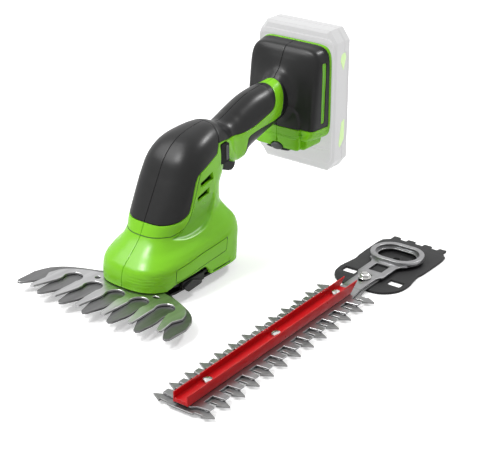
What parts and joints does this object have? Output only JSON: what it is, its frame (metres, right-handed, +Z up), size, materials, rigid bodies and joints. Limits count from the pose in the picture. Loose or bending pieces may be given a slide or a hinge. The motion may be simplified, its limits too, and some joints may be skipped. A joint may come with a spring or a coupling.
{
  "type": "cordless hand-held hedge trimmer",
  "caption": "hand-held 2-in-1 garden tool: fan-shaped grass-shear head under the body, hedge-trimming head lying beside it, battery pack behind the handle",
  "frame": {"origin": "on the flat underside of the foot, under the middle of the body", "axes": "+Z up, +Y from the blades back to the battery pack, +X to the right of whoever holds the tool"},
  "size_m": [0.2314, 0.3368, 0.1625],
  "materials": {
    "green_plastic": "moulded satin",
    "black_rubber": "matte soft-touch",
    "black_plastic": "fine grain",
    "pale_plastic": "satin",
    "blade_steel": "ground",
    "bright_steel": "zinc plated",
    "red_paint": "gloss paint",
    "board": "solder mask"
  },
  "bodies": {
    "tool": {"bottom_plate": "black_plastic", "control_board": "board", "gear_clip": "bright_steel", "gear_pin": "bright_steel", "grip_left": "black_rubber", "grip_right": "black_rubber", "head_cover_left": "black_rubber", "head_cover_right": "black_rubber", "hedge_base_plate": "black_plastic", "hedge_channel": "red_paint", "hedge_guide_bolt": "bright_steel", "hedge_lower_blade": "blade_steel", "hedge_screw_1": "bright_steel", "hedge_screw_2": "bright_steel", "hedge_screw_3": "bright_steel", "hedge_spacer": "black_plastic", "holder_cover_left": "black_rubber", "holder_cover_right": "black_rubber", "housing_left": "green_plastic", "housing_right": "green_plastic", "housing_screw_1": "bright_steel", "housing_screw_2": "bright_steel", "housing_screw_3": "bright_steel", "housing_screw_4": "bright_steel", "housing_screw_5": "bright_steel", "lock_off_spring": "bright_steel", "motor_can": "blade_steel", "motor_cap": "black_plastic", "motor_mount": "black_plastic", "release_spring_left": "bright_steel", "release_spring_right": "bright_steel", "shear_carrier": "black_plastic", "shear_lower_blade": "blade_steel", "shear_pivot_bolt": "bright_steel", "shear_pivot_nut": "bright_steel", "switch": "black_plastic", "terminal_block": "black_plastic", "trigger_spring": "bright_steel", "under_grip": "black_rubber"},
    "shear_blade": {"shear_upper_blade": "blade_steel"},
    "gear": {"drive_gear": "blade_steel", "eccentric": "blade_steel"},
    "motor": {"motor_shaft": "bright_steel"},
    "hedge_drive": {"hedge_moving_blade": "blade_steel", "hedge_yoke": "blade_steel"},
    "trigger_body": {"trigger": "black_plastic"},
    "lock_off": {"lock_off_button": "black_plastic"},
    "release_l": {"head_release_left": "black_plastic"},
    "release_r": {"head_release_right": "black_plastic"},
    "pack": {"battery_pack": "pale_plastic"},
    "latch": {"battery_latch": "black_plastic"}
  },
  "joints": [
    {"name": "shear_swing", "type": "hinge", "parent": "tool", "child": "shear_blade", "pos_m": [0, -0.0127, 0.0119], "axis": [0, 0, 1], "range_deg": [-10.2, 5.8]},
    {"name": "gear_spin", "type": "hinge", "parent": "tool", "child": "gear", "pos_m": [0, 0.016, 0.024], "axis": [0, 0, 1], "continuous": true},
    {"name": "motor_spin", "type": "hinge", "parent": "tool", "child": "motor", "pos_m": [0, -0.0014, 0.024], "axis": [0, 0, 1], "continuous": true},
    {"name": "hedge_stroke", "type": "slide", "parent": "tool", "child": "hedge_drive", "axis": [-0.0262, 0.9997, 0], "range_m": [-0.004, 0.004]},
    {"name": "trigger_pull", "type": "hinge", "parent": "tool", "child": "trigger_body", "pos_m": [0, 0.0535, 0.085], "axis": [1, 0, 0], "range_deg": [0, 9], "stiffness_Nm_per_rad": 0.3, "springref_deg": -2.86, "deforming": ["trigger_spring"]},
    {"name": "lock_off_press", "type": "slide", "parent": "tool", "child": "lock_off", "axis": [-1, 0, 0], "range_m": [0, 0.002], "stiffness_N_per_m": 400, "springref_m": -0.001},
    {"name": "release_press_left", "type": "slide", "parent": "tool", "child": "release_l", "axis": [1, 0, 0], "range_m": [0, 0.002], "stiffness_N_per_m": 400, "springref_m": -0.001},
    {"name": "release_press_right", "type": "slide", "parent": "tool", "child": "release_r", "axis": [-1, 0, 0], "range_m": [0, 0.002], "stiffness_N_per_m": 400, "springref_m": -0.001},
    {"name": "pack_slide", "type": "slide", "parent": "tool", "child": "pack", "axis": [0, 1, 0], "range_m": [0, 0.03]},
    {"name": "latch_press", "type": "slide", "parent": "pack", "child": "latch", "axis": [0, 1, 0], "range_m": [0, 0.0025], "stiffness_N_per_m": 400, "springref_m": -0.001}
  ],
  "couplings": [
    {"joint": "motor_spin", "follows": "gear_spin", "ratio": -3.7778}
  ]
}
